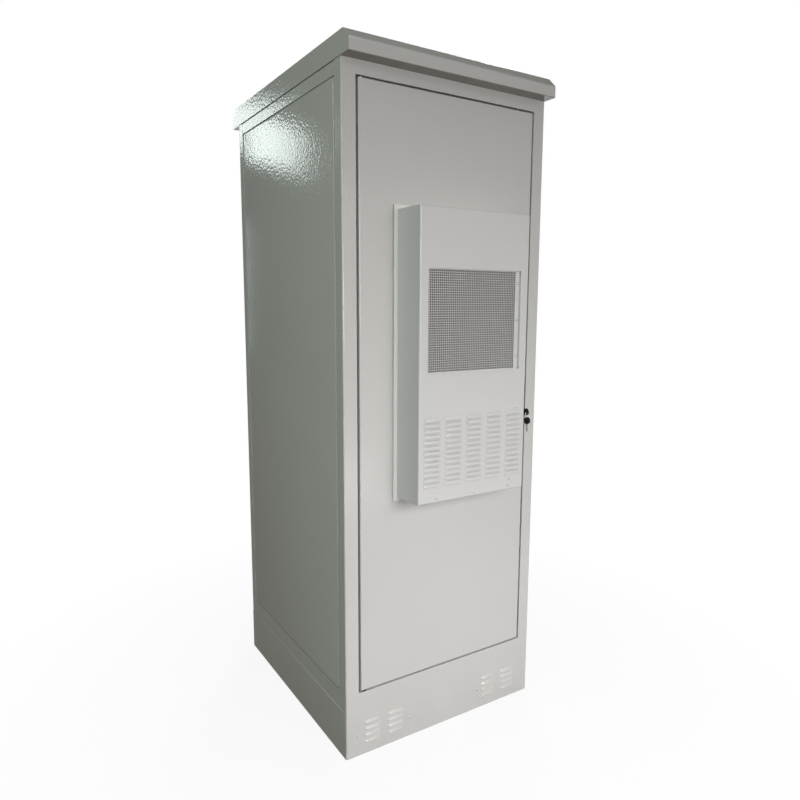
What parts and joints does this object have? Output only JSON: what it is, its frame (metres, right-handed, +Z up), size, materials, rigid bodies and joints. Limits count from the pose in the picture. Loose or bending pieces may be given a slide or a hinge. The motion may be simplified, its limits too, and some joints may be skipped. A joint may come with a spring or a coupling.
{
  "type": "roadside utility cabinet",
  "caption": "Outdoor utility cabinet on a plinth: flush hinged door with cooling unit, grille and pressed louvres, roof hood, rack rails and a swing-handle rod lock.",
  "frame": {"origin": "centre of the body's footprint on the ground, also the centre of the anchor-hole pattern", "axes": "+Z up, -Y towards the front (door) side, +X to the right as seen from the front"},
  "size_m": [0.7, 0.964, 2],
  "materials": {
    "body_paint": "gloss",
    "unit_paint": "satin",
    "zinc_steel": "satin",
    "screw_steel": "gloss",
    "black_plastic": "satin",
    "seal_rubber": "matte",
    "copper_bar": "satin",
    "filter_pad": "matte",
    "coil_metal": "satin",
    "key_black": "satin",
    "motor_black": "satin"
  },
  "bodies": {
    "cabinet": {"plinth": "body_paint", "front_frame": "body_paint", "rear_frame": "body_paint", "upper_side_rails": "body_paint", "lower_side_rails": "body_paint", "side_panel_left": "body_paint", "side_panel_right": "body_paint", "back_panel": "body_paint", "top_plate": "zinc_steel", "bottom_plate": "zinc_steel", "roof_hood": "body_paint", "roof_bolts": "screw_steel", "apron_screws": "screw_steel", "gland_plate": "zinc_steel", "cable_glands": "black_plastic", "depth_rails": "zinc_steel", "rack_rail_front_left": "zinc_steel", "rack_rail_front_right": "zinc_steel", "rack_rail_rear_left": "zinc_steel", "rack_rail_rear_right": "zinc_steel", "rail_bolts": "screw_steel", "earth_bar": "copper_bar", "earth_studs": "screw_steel", "hinge_bushes": "black_plastic"},
    "door": {"door_pan": "body_paint", "door_stiffeners": "zinc_steel", "door_gasket": "seal_rubber", "hinge_brackets": "zinc_steel", "hinge_pins": "screw_steel", "handle_base": "black_plastic", "lock_case": "zinc_steel", "rod_guides": "zinc_steel", "unit_seal": "seal_rubber", "unit_chassis": "unit_paint", "unit_cover": "unit_paint", "grille_plate": "unit_paint", "grille_screws": "screw_steel", "cover_screws": "screw_steel", "air_filter": "filter_pad", "condenser_coil": "coil_metal", "evaporator_coil": "coil_metal", "compressor": "motor_black", "unit_partition": "zinc_steel", "outer_fan_frame": "motor_black", "inner_fan_frame": "motor_black", "fan_guard": "zinc_steel"},
    "outer_fan": {"outer_fan_rotor": "motor_black"},
    "inner_fan": {"inner_fan_rotor": "motor_black"},
    "spindle": {"pinion_spindle": "zinc_steel", "tilt_pin": "screw_steel"},
    "lever": {"lever": "black_plastic"},
    "lock_plug": {"lock_plug": "screw_steel", "key": "key_black", "key_ring": "screw_steel", "spare_key": "key_black"},
    "upper_rod": {"upper_rod": "zinc_steel"},
    "lower_rod": {"lower_rod": "zinc_steel"}
  },
  "joints": [
    {"name": "door_swing", "type": "hinge", "parent": "cabinet", "child": "door", "pos_m": [-0.288, -0.378, 1.05], "axis": [0, 0, -1], "range_deg": [0, 110]},
    {"name": "handle_turn", "type": "hinge", "parent": "door", "child": "spindle", "pos_m": [0.262, -0.39, 1.108], "axis": [0, -1, 0], "range_deg": [0, 90]},
    {"name": "lever_lift", "type": "hinge", "parent": "spindle", "child": "lever", "pos_m": [0.262, -0.412, 1.108], "axis": [-1, 0, 0], "range_deg": [0, 40]},
    {"name": "key_turn", "type": "hinge", "parent": "lever", "child": "lock_plug", "pos_m": [0.262, -0.426, 0.99], "axis": [0, -1, 0], "range_deg": [0, 90]},
    {"name": "upper_rod_slide", "type": "slide", "parent": "door", "child": "upper_rod", "axis": [0, 0, -1], "range_m": [0, 0.016]},
    {"name": "lower_rod_slide", "type": "slide", "parent": "door", "child": "lower_rod", "axis": [0, 0, 1], "range_m": [0, 0.016]},
    {"name": "outer_fan_spin", "type": "hinge", "parent": "door", "child": "outer_fan", "pos_m": [0.008, -0.445, 1.2765], "axis": [0, 1, 0], "continuous": true},
    {"name": "inner_fan_spin", "type": "hinge", "parent": "door", "child": "inner_fan", "pos_m": [0.008, -0.3015, 1.4], "axis": [0, 1, 0], "continuous": true}
  ],
  "couplings": [
    {"joint": "upper_rod_slide", "follows": "handle_turn", "m_per_rad": 0.010186},
    {"joint": "lower_rod_slide", "follows": "handle_turn", "m_per_rad": 0.010186}
  ]
}
